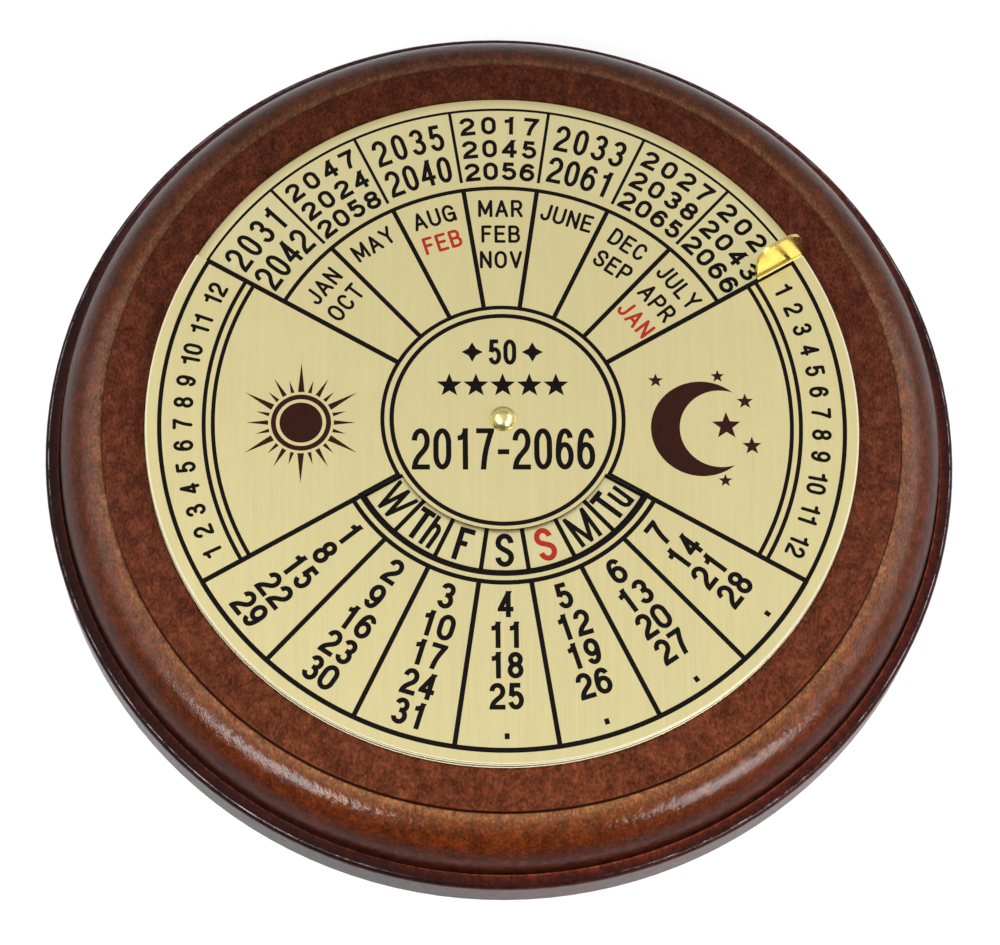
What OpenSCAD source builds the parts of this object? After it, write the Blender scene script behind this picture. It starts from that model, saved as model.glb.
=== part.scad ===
// Perpetual desk calendar: a turned wooden plaque carries a fixed brass year disc,
// and a windowed brass month dial turns over it on a centre rivet.
// Millimetres. Z = 0 is the desk, the dial's axis is Z, and the top of the dial faces +Y.

/* [Wooden base] */
// Diameter of the base over its bottom ledge
base_d = 129.6; // [126:0.2:150]
// Thickness of the wood
base_t = 15.4; // [13.6:0.2:20]
// Radius that eases the field's edge
field_ease = 0.3; // [0.1:0.05:0.6]
// Width of the groove between the field and the moulding
groove_w = 0.2; // [0.2:0.05:0.8]
// Depth of that groove below the field
groove_depth = 0.8; // [0.8:0.05:1.5]
// Radius of the quarter-round moulding
moulding_r = 6.1; // [4.5:0.05:7]
// Drop from the field to the top of the moulding
moulding_drop = 0.7; // [0.4:0.05:1.2]
// Width of the bottom ledge outside the moulding
ledge_w = 2.35; // [2.1:0.05:3]
// Width of the quirk at the foot of the moulding
quirk_w = 0.3; // [0.3:0.05:0.8]
// Height of the quirk's floor above the underside of the wood
quirk_h = 6.45; // [5.8:0.05:6.6]
// Height of the bead's flat crown above the underside of the wood
bead_h = 7.05; // [6.9:0.05:7.6]
// Radius that eases the bead's inner edge
bead_ease = 0.2; // [0.1:0.05:0.3]
// Radius that rounds the bead over to the outer edge
bead_r = 0.7; // [0.5:0.05:0.9]
// Chamfer round the underside of the wood
foot_chamfer = 0.35; // [0.2:0.05:1]

/* [Felt] */
// Thickness of the felt
felt_t = 0.8; // [0.5:0.1:2]
// Distance from the edge of the base to the edge of the felt
felt_inset = 2.4; // [1:0.1:6]

/* [Brass discs] */
// Diameter of the turning month dial
dial_d = 100; // [96:0.1:103]
// Thickness of the month dial
dial_t = 0.5; // [0.4:0.05:0.8]
// Distance that the fixed year disc stands out past the dial's rim
year_rim = 0.1; // [0.05:0.05:1]
// Thickness of the year disc
year_t = 0.5; // [0.4:0.05:1]
// Bevel of the discs' upper edges
edge_bevel = 0.1; // [0.05:0.01:0.15]
// Distance from the year disc's edge to the edge of the adhesive sheet under it
sheet_inset = 4.1; // [1:0.1:8]
// Thickness of the adhesive sheet
sheet_t = 0.15; // [0.1:0.01:0.3]

/* [Openings in the dial] */
// Radius of the floor of the notch that shows the years
notch_r = 36.75; // [34:0.05:40]
// Angle from the middle of the notch to each of its edges
notch_half = 60; // [50:1:65]
// Inner radius of the weekday window
window_in_r = 16.4; // [14:0.05:18]
// Outer radius of the weekday window
window_out_r = 22.5; // [21:0.05:26]
// Angle from the middle of the weekday window to each of its ends
window_half = 60; // [50:1:70]

/* [Finger tab] */
// Width of the tab along the notch's edge
tab_w = 7.5; // [6:0.1:10]
// Distance from the dial's rim to the tab
tab_inset = 0.15; // [0.12:0.01:1]
// Length of the flat of the tab above its bend
tab_l = 6.1; // [4.5:0.1:9]
// Radius of the tab's two rounded corners
tab_corner_r = 2.9; // [1:0.1:2.95]
// Inside radius of the bend
bend_r = 0.35; // [0.3:0.05:1.5]
// Lean of the tab from upright, towards the notch
tab_lean = 9; // [0:1:30]

/* [Centre rivet] */
// Diameter of the domed head
head_d = 3.7; // [3.2:0.1:6]
// Height of the domed head
head_h = 1.2; // [0.8:0.05:1.5]
// Diameter of the shank
shank_d = 2; // [1.6:0.1:2.4]
// Diameter of the bore in the shank's tubular tail
tail_bore_d = 1.1; // [0.8:0.05:1.2]
// Depth of that bore
tail_bore_depth = 1.3; // [0.8:0.05:1.5]
// Diameter of the clinched flange
clinch_d = 3.2; // [2.8:0.1:4]
// Height of the clinched flange
clinch_h = 0.5; // [0.3:0.05:0.8]

/* [Washers] */
// Diameter of the fibre washer between the discs
spacer_d = 9; // [6:0.5:20]
// Thickness of the fibre washer
spacer_t = 0.2; // [0.15:0.01:0.5]
// Diameter of the burr under the year disc
burr_d = 5.6; // [4.6:0.1:8]
// Thickness of the burr
burr_t = 0.4; // [0.3:0.05:0.8]

/* [Clearances] */
// Radial clearance between the shank and the dial's bore
running_clearance = 0.05; // [0.02:0.01:0.1]
// Radial clearance between the shank and the pieces that stay still
fixed_clearance = 0.05; // [0.02:0.01:0.1]
// Play above and below the dial
dial_play = 0.05; // [0.02:0.01:0.1]
// Space round the burr and below the clinch in the base's pocket
pocket_clearance = 1.2; // [0.4:0.1:2]

/* [Hidden] */
$fn = 120;

// Heights from the desk up
wood_z = felt_t;
field_z = wood_z + base_t;
year_z = field_z + sheet_t;
year_top = year_z + year_t;
spacer_top = year_top + spacer_t;
dial_z = spacer_top + dial_play;
dial_top = dial_z + dial_t;
head_z = dial_top + dial_play;
burr_z = year_z - burr_t;
clinch_z = burr_z - clinch_h;

// Radii of the base's profile
base_r = base_d / 2;
moulding_out_r = base_r - ledge_w;
moulding_in_r = moulding_out_r - moulding_r;
moulding_z = field_z - moulding_drop - moulding_r;
field_r = moulding_in_r - groove_w;
bead_in_r = moulding_out_r + quirk_w;
bead_crown_in_r = bead_in_r + bead_ease;
bead_crown_out_r = base_r - bead_r;
bead_z = wood_z + bead_h;

// Pocket in the field for the rivet's tail
pocket_r = burr_d / 2 + pocket_clearance;
pocket_z = clinch_z - pocket_clearance;

// Bores
shank_r = shank_d / 2;
running_r = shank_r + running_clearance;
fixed_r = shank_r + fixed_clearance;

// Discs
dial_r = dial_d / 2;
year_r = dial_r + year_rim;

// Finger tab, in a frame whose X runs out along the notch's edge and Y into the notch
tab_out_x = dial_r - tab_inset;
tab_angle = 90 - tab_lean;
tab_root = 0.5;
bend_out_r = bend_r + dial_t;
bend_steps = 18;

// Cuts run past the faces that they open
cut_extra = 1;

// Half profile of a flat disc with its upper edge bevelled
module disc_profile(r, t) {
    polygon([[0, 0], [r, 0], [r, t - edge_bevel], [r - edge_bevel, t], [0, t]]);
}

// Flat ring that stands on z
module ring(out_r, in_r, z, t) {
    translate([0, 0, z]) difference() {
        cylinder(r = out_r, h = t);
        translate([0, 0, -cut_extra]) cylinder(r = in_r, h = t + 2 * cut_extra);
    }
}

// Sector of a ring, centred on the angle mid, that cuts right through the dial
module dial_cut(in_r, out_r, mid, half) {
    translate([0, 0, dial_z - cut_extra]) rotate([0, 0, mid - half])
        rotate_extrude(angle = 2 * half)
            translate([in_r, 0]) square([out_r - in_r, dial_t + 2 * cut_extra]);
}

// Half profile of the turned base: field, groove, thumbnail moulding, quirk, bead and edge
module base_profile() {
    difference() {
        union() {
            // quarter-round moulding over its upright lip
            translate([0, wood_z]) square([moulding_out_r, moulding_z - wood_z]);
            intersection() {
                translate([moulding_in_r, moulding_z]) circle(r = moulding_r);
                translate([0, wood_z]) square([moulding_out_r, base_t]);
            }
            // raised field with an eased edge
            translate([0, wood_z]) square([field_r - field_ease, base_t]);
            translate([0, wood_z]) square([field_r, base_t - field_ease]);
            translate([field_r - field_ease, field_z - field_ease]) circle(r = field_ease);
            // bottom ledge
            translate([0, wood_z]) polygon([
                [0, 0], [base_r - foot_chamfer, 0], [base_r, foot_chamfer],
                [base_r, bead_h - bead_r], [bead_crown_out_r, bead_h - bead_r],
                [bead_crown_out_r, quirk_h], [0, quirk_h]
            ]);
            // bead on the ledge, eased inside and rounded over outside
            translate([bead_in_r, wood_z])
                square([bead_crown_out_r - bead_in_r, bead_h - bead_ease]);
            translate([bead_crown_in_r, wood_z])
                square([bead_crown_out_r - bead_crown_in_r, bead_h]);
            translate([bead_crown_in_r, bead_z - bead_ease]) circle(r = bead_ease);
            translate([bead_crown_out_r, bead_z - bead_r]) circle(r = bead_r);
        }
        // groove round the field
        translate([field_r, field_z - groove_depth]) square([groove_w, groove_depth]);
        // pocket for the rivet's tail
        translate([0, pocket_z]) square([pocket_r, field_z - pocket_z + cut_extra]);
    }
}

module wood_base() {
    color("#6b3a22") rotate_extrude() base_profile();
}

module base_felt() {
    color("#1d3b2a") cylinder(r = base_r - felt_inset, h = felt_t);
}

module adhesive_sheet() {
    color("#d9d4c4") ring(year_r - sheet_inset, pocket_r, field_z, sheet_t);
}

module year_disc() {
    color("#d9cb92") difference() {
        translate([0, 0, year_z]) rotate_extrude() disc_profile(year_r, year_t);
        translate([0, 0, year_z - cut_extra]) cylinder(r = fixed_r, h = year_t + 2 * cut_extra);
    }
}

module spacer_washer() {
    color("#7a2f24") ring(spacer_d / 2, fixed_r, year_top, spacer_t);
}

module rivet_burr() {
    color("#b9a060") ring(burr_d / 2, fixed_r, burr_z, burr_t);
}

// Side view of the bent tab: X into the notch, Y up from the dial's underside
function bend_point(r, angle) = [r * sin(angle), bend_out_r - r * cos(angle)];
module tab_side() {
    flat = tab_l * [cos(tab_angle), sin(tab_angle)];
    steps = [0:bend_steps];
    polygon(concat(
        [[-tab_root, 0]],
        [for (i = steps) bend_point(bend_out_r, tab_angle * i / bend_steps)],
        [bend_point(bend_out_r, tab_angle) + flat, bend_point(bend_r, tab_angle) + flat],
        [for (i = steps) bend_point(bend_r, tab_angle * (1 - i / bend_steps))],
        [[-tab_root, dial_t]]
    ));
}

// Face view of the tab: X up its flat from the bend, Y along the notch's edge
module tab_face() {
    reach = 4 * bend_out_r;
    translate([-reach, 0]) square([reach + tab_l - tab_corner_r, tab_w]);
    translate([tab_l - tab_corner_r, tab_corner_r])
        square([tab_corner_r, tab_w - 2 * tab_corner_r]);
    for (y = [tab_corner_r, tab_w - tab_corner_r])
        translate([tab_l - tab_corner_r, y]) circle(r = tab_corner_r);
}

// Tab with its root at the dial's underside, in the frame of the notch's edge
module finger_tab() {
    depth = 4 * bend_out_r + tab_root;
    intersection() {
        rotate([90, 0, 90]) linear_extrude(tab_w) tab_side();
        translate([0, 0, bend_out_r]) rotate([tab_angle, 0, 0])
            multmatrix([[0, 1, 0, 0], [1, 0, 0, 0], [0, 0, -1, depth / 2], [0, 0, 0, 1]])
                linear_extrude(depth) tab_face();
    }
}

module month_dial() {
    color("#d2c388") {
        difference() {
            translate([0, 0, dial_z]) rotate_extrude() disc_profile(dial_r, dial_t);
            translate([0, 0, dial_z - cut_extra]) cylinder(r = running_r, h = dial_t + 2 * cut_extra);
            dial_cut(notch_r, dial_r + cut_extra, 90, notch_half);
            dial_cut(window_in_r, window_out_r, -90, window_half);
        }
        rotate([0, 0, 90 - notch_half]) translate([tab_out_x - tab_w, 0, dial_z]) finger_tab();
    }
}

// Semi-tubular rivet: domed head, shank and clinched tail
module centre_rivet() {
    dome_r = (pow(head_d / 2, 2) + pow(head_h, 2)) / (2 * head_h);
    color("#e0cf86") rotate_extrude() difference() {
        union() {
            intersection() {
                translate([0, head_z + head_h - dome_r]) circle(r = dome_r);
                translate([0, head_z]) square([head_d / 2, head_h]);
            }
            translate([0, clinch_z]) square([shank_r, head_z - clinch_z]);
            polygon([[0, clinch_z], [clinch_d / 2 - clinch_h / 2, clinch_z],
                     [clinch_d / 2, clinch_z + clinch_h / 2], [clinch_d / 2, burr_z], [0, burr_z]]);
        }
        translate([0, clinch_z - cut_extra]) square([tail_bore_d / 2, tail_bore_depth + cut_extra]);
    }
}

wood_base();
base_felt();
adhesive_sheet();
year_disc();
spacer_washer();
month_dial();
centre_rivet();
rivet_burr();
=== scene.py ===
import math

import bpy
from mathutils import Euler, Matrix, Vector, geometry


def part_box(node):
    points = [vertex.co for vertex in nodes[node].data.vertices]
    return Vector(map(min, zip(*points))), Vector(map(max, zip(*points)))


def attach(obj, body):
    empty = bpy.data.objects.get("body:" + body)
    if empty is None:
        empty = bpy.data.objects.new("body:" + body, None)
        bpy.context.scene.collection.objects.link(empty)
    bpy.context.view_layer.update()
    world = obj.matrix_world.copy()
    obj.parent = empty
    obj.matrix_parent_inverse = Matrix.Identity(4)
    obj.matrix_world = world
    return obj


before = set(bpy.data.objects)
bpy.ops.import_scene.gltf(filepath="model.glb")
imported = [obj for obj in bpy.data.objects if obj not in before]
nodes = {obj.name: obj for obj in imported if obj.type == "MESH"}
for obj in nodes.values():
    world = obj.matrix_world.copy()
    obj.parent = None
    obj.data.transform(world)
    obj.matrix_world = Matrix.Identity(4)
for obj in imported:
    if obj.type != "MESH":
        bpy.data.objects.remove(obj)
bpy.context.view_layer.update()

# The object's lengths below are in millimetres, and this turns them into metres. The floor's
# size and those of the lamps are in metres.
MM = 0.001

# Main places, read from the frame.
BASE_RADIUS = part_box("wood_base")[1].x / MM
DIAL_RADIUS = -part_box("month_dial")[0].x / MM
YEAR_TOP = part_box("year_disc")[1].z / MM
WASHER_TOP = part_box("spacer_washer")[1].z / MM
DIAL_PLAY = 0.05
DIAL_SHEET = 0.5
DIAL_TOP = WASHER_TOP + DIAL_PLAY + DIAL_SHEET

# The ink stands a little proud of the brass and starts a little inside it.
INK_HEIGHT = 0.015
INK_ROOT = 0.02

# Points closer than this are one point when flat shapes are joined.
WELD = 0.0005


# ---------------------------------------------------------------- flat shapes

def area(polygon):
    """Area of a polygon, negative where its corners run clockwise."""
    return sum(a[0] * b[1] - b[0] * a[1] for a, b in zip(polygon, polygon[1:] + polygon[:1])) / 2


def union(polygons):
    """The flat region that the polygons cover together: its points and its triangles."""
    points = []
    faces = []
    for polygon in polygons:
        start = len(points)
        points.extend(Vector(point) for point in polygon)
        corners = list(range(start, len(points)))
        faces.append(corners if area(polygon) > 0 else corners[::-1])
    merged = geometry.delaunay_2d_cdt(points, [], faces, 1, WELD, True)
    triangles = [face for face, sources in zip(merged[2], merged[5]) if sources]
    return merged[0], triangles


def prisms(regions, bottom, top):
    """Corners and faces of closed flat slabs, one for each region, between two heights."""
    corners = []
    faces = []
    for points, triangles in regions:
        low = len(corners)
        high = low + len(points)
        corners.extend((x * MM, y * MM, bottom * MM) for x, y in points)
        corners.extend((x * MM, y * MM, top * MM) for x, y in points)
        sides = set()
        for a, b, c in triangles:
            faces.append((high + a, high + b, high + c))
            faces.append((low + c, low + b, low + a))
            sides.update(((a, b), (b, c), (c, a)))
        for a, b in sorted(sides):
            if (b, a) not in sides:
                faces.append((low + a, low + b, high + b, high + a))
    return corners, faces


def ink_piece(name, regions, plate_top, body, ink):
    """One colour of print on a disc, as closed slabs of ink that ride on the disc's body."""
    corners, faces = prisms(regions, plate_top - INK_ROOT, plate_top + INK_HEIGHT)
    mesh = bpy.data.meshes.new(name)
    mesh.from_pydata(corners, [], faces)
    mesh.materials.append(ink)
    piece = bpy.data.objects.new(name, mesh)
    bpy.context.scene.collection.objects.link(piece)
    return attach(piece, body)


def on_disc(clock, radius, across=0.0, up=0.0, inward=False):
    """A point of the print, in shares of the dial's radius.

    clock is the angle from the top, clockwise in degrees. across and up are in the letters' own
    frame, whose top faces outward, or inward where inward is true."""
    turn = math.radians(clock)
    side = -1 if inward else 1
    out = radius + side * up
    x = out * math.sin(turn) + side * across * math.cos(turn)
    y = out * math.cos(turn) - side * across * math.sin(turn)
    return x, y


def scaled(polygon):
    return [(x * DIAL_RADIUS, y * DIAL_RADIUS) for x, y in polygon]


def polar(x, y, radius, angle):
    """A point at an angle, in radians, and a distance from another point."""
    return x + radius * math.cos(angle), y + radius * math.sin(angle)


# The longest piece of a ring, in degrees
RING_STEP = 1.5


def ring_polygons(inner, outer, start=0.0, end=360.0):
    """A ring, or a stretch of one between two clock angles, as short four-sided pieces."""
    count = math.ceil((end - start) / RING_STEP)
    clocks = [start + (end - start) * i / count for i in range(count + 1)]
    return [scaled([on_disc(a, inner), on_disc(a, outer), on_disc(b, outer), on_disc(b, inner)])
            for a, b in zip(clocks, clocks[1:])]


def radial_polygon(clock, inner, outer, width, shift=0.0):
    """A straight line along a radius, or shifted clockwise from it."""
    left, right = shift - width / 2, shift + width / 2
    return scaled([on_disc(clock, inner, left), on_disc(clock, inner, right),
                   on_disc(clock, outer, right), on_disc(clock, outer, left)])


# ---------------------------------------------------------------- lettering

# A glyph is a list of strokes. A stroke is the list of points along its middle, in a box
# that runs from 0 to 1 both ways. Straight ends that reach the box's edge are cut flush
# with it in the flat style, and every end and corner is rounded in the round style.
ARC_STEP = 12
CURVE_STEPS = 8
SHARP_TURN = math.radians(35)
LONGEST_MITRE = 4
DISC_SIDES = 20
# How near the box's edge a stroke's end counts as on it, and how steeply it has to leave
AT_EDGE = 1e-6
LEAVING = 0.3


def arc(x, y, across, up, start, end):
    count = max(2, math.ceil(abs(end - start) / ARC_STEP))
    turns = [math.radians(start + (end - start) * i / count) for i in range(count + 1)]
    return [(x + across * math.cos(t), y + up * math.sin(t)) for t in turns]


def curve(a, b, c, d):
    """A cubic curve from a to d, drawn towards b and c."""
    points = []
    for i in range(CURVE_STEPS + 1):
        t = i / CURVE_STEPS
        shares = ((1 - t) ** 3, 3 * t * (1 - t) ** 2, 3 * t * t * (1 - t), t ** 3)
        points.append(tuple(sum(s * p[k] for s, p in zip(shares, (a, b, c, d))) for k in (0, 1)))
    return points


def loop(x, y, across, up, stretch=0.0):
    """A closed oval, with straight sides where it is stretched."""
    over = arc(x, y + stretch, across, up, 0, 180)
    under = arc(x, y - stretch, across, up, 180, 360)
    return over + under + over[:1]


SIX = [
    arc(0.54, 0.76, 0.42, 0.24, 10, 90) + curve((0.54, 1), (0.12, 1), (0, 0.66), (0, 0.33)),
    loop(0.5, 0.31, 0.5, 0.31),
]

GLYPHS = {
    "0": [loop(0.5, 0.5, 0.5, 0.34, 0.16)],
    "1": [[(0.62, 0), (0.62, 1)], curve((0.02, 0.8), (0.3, 0.8), (0.56, 0.84), (0.62, 1))],
    "2": [arc(0.5, 0.72, 0.5, 0.28, 178, -22)
          + curve((0.96, 0.61), (0.84, 0.4), (0.12, 0.34), (0, 0)) + [(1, 0)]],
    "3": [arc(0.49, 0.765, 0.45, 0.235, 168, -90) + [(0.36, 0.53)],
          [(0.36, 0.53)] + arc(0.5, 0.265, 0.5, 0.265, 90, -168)],
    "4": [[(0.75, 0), (0.75, 1)], [(0.75, 1), (0, 0.27), (1, 0.27)]],
    "5": [[(0.92, 1), (0.16, 1), (0.08, 0.5)],
          [(0.08, 0.5)] + arc(0.5, 0.315, 0.5, 0.315, 132, -165)],
    "6": SIX,
    "7": [[(0, 1)] + curve((1, 1), (0.68, 0.68), (0.44, 0.4), (0.36, 0))],
    "8": [loop(0.5, 0.765, 0.45, 0.235), loop(0.5, 0.265, 0.5, 0.265)],
    "9": [[(1 - x, 1 - y) for x, y in stroke] for stroke in SIX],
    "-": [[(0, 0.42), (1, 0.42)]],
    "A": [[(0, 0), (0.5, 1), (1, 0)], [(0.17, 0.32), (0.83, 0.32)]],
    "B": [[(0, 0), (0, 1)] + arc(0.56, 0.765, 0.36, 0.235, 90, -90) + [(0, 0.53)],
          [(0, 0.53)] + arc(0.58, 0.265, 0.42, 0.265, 90, -90) + [(0, 0)]],
    "C": [arc(0.5, 0.62, 0.5, 0.38, 22, 180) + arc(0.5, 0.38, 0.5, 0.38, 180, 338)],
    "D": [[(0, 0), (0, 1)] + arc(0.42, 0.6, 0.58, 0.4, 90, 0)
          + arc(0.42, 0.4, 0.58, 0.4, 0, -90) + [(0, 0)]],
    "E": [[(1, 1), (0, 1), (0, 0), (1, 0)], [(0, 0.53), (0.86, 0.53)]],
    "F": [[(1, 1), (0, 1), (0, 0)], [(0, 0.53), (0.84, 0.53)]],
    "G": [arc(0.5, 0.62, 0.5, 0.38, 22, 180) + arc(0.5, 0.38, 0.5, 0.38, 180, 345),
          [(0.5, 0.46), (1, 0.46), (1, 0)]],
    "J": [[(1, 1)] + arc(0.5, 0.27, 0.5, 0.27, 0, -172)],
    "L": [[(0, 1), (0, 0), (1, 0)]],
    "M": [[(0, 0), (0, 1), (0.5, 0.17), (1, 1), (1, 0)]],
    "N": [[(0, 0), (0, 1), (1, 0), (1, 1)]],
    "O": [loop(0.5, 0.5, 0.5, 0.4, 0.1)],
    "P": [[(0, 0), (0, 1)] + arc(0.6, 0.73, 0.4, 0.27, 90, -90) + [(0, 0.46)]],
    "R": [[(0, 0), (0, 1)] + arc(0.58, 0.735, 0.38, 0.265, 90, -90) + [(0, 0.47)],
          [(0.52, 0.47), (1, 0)]],
    "S": [arc(0.5, 0.74, 0.48, 0.26, 2, 180)
          + curve((0.02, 0.74), (0.02, 0.5), (1, 0.52), (1, 0.26))
          + arc(0.5, 0.26, 0.5, 0.26, 0, -176)],
    "T": [[(0, 1), (1, 1)], [(0.5, 1), (0.5, 0)]],
    "U": [[(0, 1)] + arc(0.5, 0.3, 0.5, 0.3, 180, 360) + [(1, 1)]],
    "V": [[(0, 1), (0.5, 0), (1, 1)]],
    "W": [[(0, 1), (0.28, 0), (0.5, 1), (0.72, 0), (1, 1)]],
    "Y": [[(0, 1), (0.5, 0.47), (1, 1)], [(0.5, 0.47), (0.5, 0)]],
    # weekday letters: an M whose point reaches the line, and small h and u
    "m": [[(0, 0), (0, 1), (0.5, 0), (1, 1), (1, 0)]],
    "h": [[(0, 1), (0, 0)], arc(0.5, 0.5, 0.5, 0.25, 160, 0) + [(1, 0)]],
    "u": [[(0, 0.76)] + arc(0.5, 0.22, 0.5, 0.22, 180, 340), [(1, 0.76), (1, 0)]],
}


def clipped(polygon, width, height):
    """The part of a convex polygon that lies inside a glyph's box."""
    for axis, limit, sign in ((0, 0, -1), (0, width, 1), (1, 0, -1), (1, height, 1)):
        kept = []
        for start, end in zip(polygon, polygon[1:] + polygon[:1]):
            from_limit = sign * (start[axis] - limit)
            to_limit = sign * (end[axis] - limit)
            if from_limit <= 0:
                kept.append(start)
            if from_limit * to_limit < 0:
                share = from_limit / (from_limit - to_limit)
                kept.append(tuple(s + share * (e - s) for s, e in zip(start, end)))
        polygon = kept
        if len(polygon) < 3:
            return []
    return polygon


def flush_end(end, before, point, reach):
    """An end that leaves its box is run on, so that the box's edge can cut it."""
    direction = (end - before).normalized()
    leaves = any(abs(point[k] - edge) < AT_EDGE and direction[k] * (2 * edge - 1) > LEAVING
                 for k in (0, 1) for edge in (0, 1))
    return end + direction * reach if leaves else end


def stroke_points(stroke, width, height, weight):
    """A stroke's points in millimetres, in a box that holds the whole line, without repeats."""
    half = weight / 2
    points = []
    for x, y in stroke:
        point = Vector((half + x * (width - weight), half + y * (height - weight)))
        if not points or (point - points[-1]).length > WELD:
            points.append(point)
    return points


def mitre(point, before, after, half):
    """The wedge that fills the outer side of a sharp corner."""
    side = -1 if before.cross(after) > 0 else 1
    first = before.orthogonal() * side
    second = after.orthogonal() * side
    middle = (first + second).normalized()
    reach = 1 / max(middle.dot(first), 1 / LONGEST_MITRE)
    return [tuple(point + half * step) for step in (Vector((0, 0)), first, reach * middle, second)]


def stretch(start, end, first, second):
    """The piece of a stroke between two points, with the left side's offset at each of them.
    Inside a bend so tight that its edge would turn back, the edge shrinks to a point."""
    direction = end - start
    edges = []
    for side in (-1, 1):
        near = start + side * first
        far = end + side * second
        turns_back = (far - near).dot(direction) <= 0
        edges.append([(near + far) / 2] if turns_back else [near, far])
    return [tuple(point) for point in edges[0] + edges[1][::-1]]


def disc_polygon(x, y, radius):
    return [polar(x, y, radius, 2 * math.pi * k / DISC_SIDES) for k in range(DISC_SIDES)]


def stroke_polygons(stroke, width, height, weight, rounded):
    """One stroke of a glyph as convex polygons, in a box of the given width and height."""
    half = weight / 2
    middle = stroke_points(stroke, width, height, weight)
    closed = (middle[0] - middle[-1]).length < WELD
    if not rounded and not closed:
        middle[0] = flush_end(middle[0], middle[1], stroke[0], weight)
        middle[-1] = flush_end(middle[-1], middle[-2], stroke[-1], weight)
    last = len(middle) - 1
    along = [(b - a).normalized() for a, b in zip(middle, middle[1:])]
    polygons = []
    offsets = []
    for i, point in enumerate(middle):
        before = along[i - 1] if i or closed else along[0]
        after = along[i % last] if i < last or closed else along[-1]
        sharp = before.angle(after) > SHARP_TURN
        is_end = not closed and i in (0, last)
        if rounded and (sharp or is_end):
            polygons.append(disc_polygon(*point, half))
        if sharp:
            offsets.append((before.orthogonal() * half, after.orthogonal() * half))
            if not rounded:
                polygons.append(mitre(point, before, after, half))
        else:
            across = (before + after).normalized().orthogonal()
            across *= half / across.dot(before.orthogonal())
            offsets.append((across, across))
    for i in range(last):
        polygons.append(stretch(middle[i], middle[i + 1], offsets[i][1], offsets[i + 1][0]))
    if not rounded:
        polygons = [clipped(polygon, width, height) for polygon in polygons]
    return [polygon for polygon in polygons if polygon]


glyph_cache = {}


def glyph(character, width, height, weight, rounded):
    """A character's flat region, in millimetres, with its box's lower left corner at the origin."""
    key = (character, width, height, weight, rounded)
    if key not in glyph_cache:
        size = [value * DIAL_RADIUS for value in (width, height, weight)]
        polygons = []
        for stroke in GLYPHS[character]:
            polygons.extend(stroke_polygons(stroke, *size, rounded))
        glyph_cache[key] = union(polygons)
    return glyph_cache[key]


class Lettering:
    """A style of lettering. Sizes are shares of the dial's radius, and widths and weights give
    the characters that are wider, narrower, bolder or lighter than the rest."""

    def __init__(self, height, width, weight, gap, rounded=False, widths=None, weights=None):
        self.height = height
        self.width = width
        self.weight = weight
        self.gap = gap
        self.rounded = rounded
        self.widths = widths or {}
        self.weights = weights or {}

    def width_of(self, character):
        return self.widths.get(character, self.width)

    def weight_of(self, character):
        return self.weights.get(character, self.weight)

    def character(self, character, clock, radius, across=0.0, inward=False):
        """One character's region, its box centred across the given place."""
        width = self.width_of(character)
        points, triangles = glyph(
            character, width, self.height, self.weight_of(character), self.rounded)
        placed = []
        for x, y in points:
            u = x / DIAL_RADIUS - width / 2 + across
            v = y / DIAL_RADIUS - self.height / 2
            placed.append(on_disc(clock, radius, u, v, inward))
        return scaled(placed), triangles

    def straight(self, text, clock, radius, inward=False, pitch=None):
        """A word on a straight line, centred on a radius, with cells of equal pitch if given."""
        if pitch:
            places = [(i - (len(text) - 1) / 2) * pitch for i in range(len(text))]
        else:
            length = sum(map(self.width_of, text)) + self.gap * (len(text) - 1)
            places = []
            reached = -length / 2
            for character in text:
                places.append(reached + self.width_of(character) / 2)
                reached += self.width_of(character) + self.gap
        return [self.character(character, clock, radius, place, inward)
                for character, place in zip(text, places)]

    def curved(self, text, clock, radius, pitch):
        """A word along the arc, each character turned with it."""
        step = math.degrees(pitch / radius)
        first = clock - step * (len(text) - 1) / 2
        return [self.character(character, first + i * step, radius)
                for i, character in enumerate(text) if character != " "]


# ---------------------------------------------------------------- calendar print

# Places below are shares of the dial's radius, and clock angles in degrees.
SECTORS = 21
SECTOR = 360 / SECTORS
# The notch's edges lie this far each side of the top, and the window runs from end to end.
NOTCH_EDGE = 60
WINDOW_ENDS = (120, 240)
SIDE_BANDS = ((60, 120), (240, 300))
# The middle of the window's last sector, where the dates and the weekdays start
FIRST_COLUMN = 231.43

# Years by sector, clockwise from the top, the outer ones first. From one sector to the next the
# first of March falls one weekday earlier, but for 2065 and 2066, which stand in each other's
# place as in the photo.
YEARS = (
    "2017 2045 2056", "2033 2061", "2027 2038 2065", "2026 2043 2066", "2025 2053 2064",
    "2019 2041", "2018 2046 2063", "2023 2034 2062", "2022 2044", "2021 2049 2060",
    "2020 2048", "2036 2059", "2030 2052", "2029 2057", "2028 2051", "2039 2050",
    "2032 2055", "2037 2054", "2031 2042", "2047 2024 2058", "2035 2040",
)
# By the number of years in a sector: their lettering, and each row's radius and pitch
YEAR_STYLES = {
    2: (Lettering(0.083, 0.042, 0.012, 0, widths={"0": 0.0395}),
        ((0.895, 0.0555), (0.792, 0.0504))),
    3: (Lettering(0.0565, 0.0435, 0.0115, 0, widths={"0": 0.0425}),
        ((0.918, 0.062), (0.844, 0.0573), (0.7717, 0.0528))),
}
YEAR_LINE = 0.009
YEAR_RING = (0.965, 0.9726)
YEAR_LINE_START = 0.733

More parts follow.
